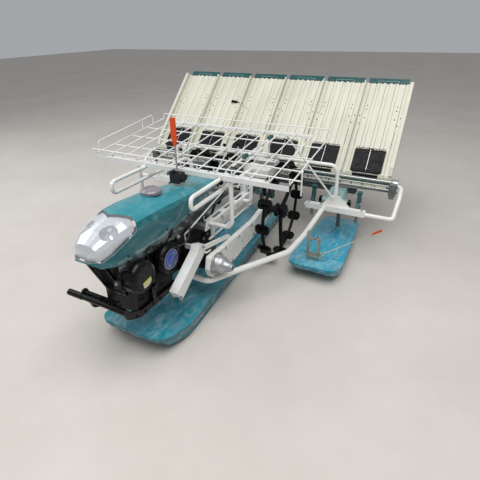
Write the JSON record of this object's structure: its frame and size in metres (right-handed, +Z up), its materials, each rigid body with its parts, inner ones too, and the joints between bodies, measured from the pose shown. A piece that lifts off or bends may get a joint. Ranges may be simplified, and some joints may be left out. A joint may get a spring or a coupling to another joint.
{
  "type": "walk-behind six-row rice transplanter",
  "caption": "Walk-behind rice transplanter with a teal engine hood, two lugged wheels, floats, a ribbed seedling tray, planting arms and a wire seedling rack.",
  "frame": {"origin": "middle of the bounding box at ground level", "axes": "+X to the left side of the machine, -Y to the front, +Z up"},
  "size_m": [2.0012, 2.37, 1.0449],
  "materials": {
    "teal_hood": "glossy moulded cover",
    "teal_float": "glossy hollow float",
    "teal_metal": "painted casting",
    "pale_case": "painted casting",
    "white_tube": "glossy paint",
    "grey_steel": "satin paint",
    "black_steel": "satin paint",
    "rail_aluminium": "extruded",
    "cream_tray": "smooth moulding",
    "black_rubber": "matt",
    "tyre_rubber": "matt",
    "clear_lens": "clear",
    "reflector": "bright",
    "black_plastic": "matt",
    "grey_plastic": "matt",
    "marker_steel": "zinc",
    "marker_pole": "satin paint",
    "cast_aluminium": "as cast",
    "gate_plastic": "smooth moulding"
  },
  "bodies": {
    "chassis": {"main_frame": "grey_steel", "frame_plates": "grey_steel", "engine_base": "black_steel", "bumper": "black_steel", "engine_block": "grey_steel", "muffler_cover": "black_steel", "recoil_starter": "black_plastic", "front_grille": "black_plastic", "hood": "teal_hood", "headlight_lens": "clear_lens", "headlight_reflector": "reflector", "tank_cap": "grey_plastic", "transmission": "black_steel", "wheel_arm_left": "white_tube", "wheel_arm_right": "white_tube", "pivot_cones": "cast_aluminium", "lift_channels": "white_tube", "lift_links": "white_tube", "centre_float": "teal_float", "side_float_left": "teal_float", "side_float_right": "teal_float", "float_brackets": "grey_steel", "side_beam_left": "white_tube", "side_beam_right": "white_tube", "side_tubes": "white_tube", "arch_tube": "white_tube", "cross_tube": "grey_steel", "guide_rail": "rail_aluminium", "rail_gates": "gate_plastic", "planting_cases": "pale_case", "spare_rack": "white_tube", "rack_rails": "white_tube", "rack_support": "white_tube", "centre_marker": "marker_pole", "cover_box": "white_tube", "handlebars": "white_tube", "grips": "black_rubber", "control_panel": "black_plastic", "tray_support": "white_tube", "marker_bracket_left": "marker_steel", "marker_bracket_right": "marker_steel"},
    "wheel_left": {"wheel_left": "tyre_rubber"},
    "wheel_right": {"wheel_right": "tyre_rubber"},
    "tray": {"seedling_tray": "cream_tray", "tray_dividers": "cream_tray", "feed_belts": "black_rubber", "tray_extensions": "teal_metal"},
    "crank_left": {"crank_left": "black_steel"},
    "crank_centre": {"crank_centre": "black_steel"},
    "crank_right": {"crank_right": "black_steel"},
    "arms_left": {"arms_left": "teal_metal"},
    "arms_centre": {"arms_centre": "teal_metal"},
    "arms_right": {"arms_right": "teal_metal"},
    "marker_left": {"row_marker_left": "marker_steel"},
    "marker_right": {"row_marker_right": "marker_steel"}
  },
  "joints": [
    {"name": "wheel_left_turn", "type": "hinge", "parent": "chassis", "child": "wheel_left", "pos_m": [0.318, 0.097, 0.326], "axis": [1, 0, 0], "continuous": true},
    {"name": "wheel_right_turn", "type": "hinge", "parent": "chassis", "child": "wheel_right", "pos_m": [-0.318, 0.097, 0.326], "axis": [1, 0, 0], "continuous": true},
    {"name": "tray_slide", "type": "slide", "parent": "chassis", "child": "tray", "axis": [1, 0, 0], "range_m": [-0.14, 0.14]},
    {"name": "crank_centre_turn", "type": "hinge", "parent": "chassis", "child": "crank_centre", "pos_m": [0, 0.345, 0.341], "axis": [1, 0, 0], "continuous": true},
    {"name": "arms_centre_turn", "type": "hinge", "parent": "crank_centre", "child": "arms_centre", "pos_m": [0, 0.345, 0.307], "axis": [1, 0, 0], "continuous": true},
    {"name": "crank_left_turn", "type": "hinge", "parent": "chassis", "child": "crank_left", "pos_m": [0.6, 0.345, 0.341], "axis": [1, 0, 0], "continuous": true},
    {"name": "arms_left_turn", "type": "hinge", "parent": "crank_left", "child": "arms_left", "pos_m": [0.6, 0.345, 0.307], "axis": [1, 0, 0], "continuous": true},
    {"name": "crank_right_turn", "type": "hinge", "parent": "chassis", "child": "crank_right", "pos_m": [-0.6, 0.345, 0.341], "axis": [1, 0, 0], "continuous": true},
    {"name": "arms_right_turn", "type": "hinge", "parent": "crank_right", "child": "arms_right", "pos_m": [-0.6, 0.345, 0.307], "axis": [1, 0, 0], "continuous": true},
    {"name": "marker_left_swing", "type": "hinge", "parent": "chassis", "child": "marker_left", "pos_m": [0.638, -0.026, 0.152], "axis": [0, 0, 1], "range_deg": [-60, 0]},
    {"name": "marker_right_swing", "type": "hinge", "parent": "chassis", "child": "marker_right", "pos_m": [-0.638, -0.026, 0.152], "axis": [0, 0, 1], "range_deg": [0, 60]}
  ],
  "couplings": [
    {"joint": "crank_left_turn", "follows": "crank_centre_turn", "ratio": 1},
    {"joint": "crank_right_turn", "follows": "crank_centre_turn", "ratio": 1},
    {"joint": "arms_centre_turn", "follows": "crank_centre_turn", "ratio": -1},
    {"joint": "arms_left_turn", "follows": "crank_centre_turn", "ratio": -1},
    {"joint": "arms_right_turn", "follows": "crank_centre_turn", "ratio": -1}
  ]
}
